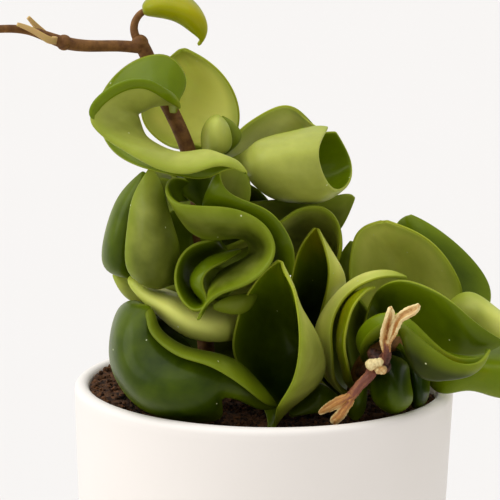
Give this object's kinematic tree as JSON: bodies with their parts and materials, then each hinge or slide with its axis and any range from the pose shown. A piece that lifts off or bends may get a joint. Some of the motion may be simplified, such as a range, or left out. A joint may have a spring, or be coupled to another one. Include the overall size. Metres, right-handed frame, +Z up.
{
  "type": "hindu rope plant",
  "caption": "Hindu rope houseplant: thick, curled waxy leaves packed along short woody stems, growing in a plain white round pot filled with soil.",
  "frame": {"origin": "centre of the pot's flat underside", "axes": "+Z up along the pot's axis, -Y towards the front view, +X to the right in it"},
  "size_m": [0.1984, 0.125, 0.2392],
  "materials": {
    "glazed_pot": "matt white",
    "potting_soil": "dark crumbly soil",
    "stem_bark": "thin brown bark",
    "dry_stalk": "dry, papery",
    "green_leaf": "waxy green",
    "young_leaf": "waxy yellow-green",
    "young_scale": "matt cream-green"
  },
  "bodies": {
    "root": {"pot": "glazed_pot", "soil": "potting_soil", "left_rope_stem": "stem_bark", "right_rope_stem": "stem_bark", "dry_flower_stalk": "dry_stalk", "loop_leaf": "young_leaf", "spoon_leaf": "young_leaf", "small_pale_leaf": "young_leaf", "rolled_leaf": "young_leaf", "rolled_flap_leaf": "young_leaf", "young_top_leaf": "young_leaf", "runner_leaf_a": "young_scale", "runner_leaf_b": "young_scale", "under_roll_leaf": "green_leaf", "sweep_leaf": "green_leaf", "s_ribbon_leaf": "green_leaf", "spiral_leaf": "green_leaf", "hood_leaf": "green_leaf", "left_oval_leaf": "green_leaf", "left_dark_leaf": "green_leaf", "left_pale_tip_leaf": "green_leaf", "pale_band_leaf": "green_leaf", "shell_leaf": "green_leaf", "shell_inner_leaf": "green_leaf", "front_taco_leaf": "green_leaf", "back_taco_leaf": "green_leaf", "right_band_leaf": "green_leaf", "right_green_leaf": "green_leaf", "right_inner_leaf": "green_leaf", "right_dark_leaf": "green_leaf", "right_lip_leaf": "green_leaf", "right_round_leaf": "green_leaf", "right_rear_leaf": "green_leaf", "right_pale_leaf": "green_leaf", "rim_leaf": "green_leaf", "low_dark_leaf": "green_leaf", "low_right_leaf": "green_leaf", "low_left_leaf": "green_leaf", "low_centre_leaf": "green_leaf"}
  },
  "joints": []
}
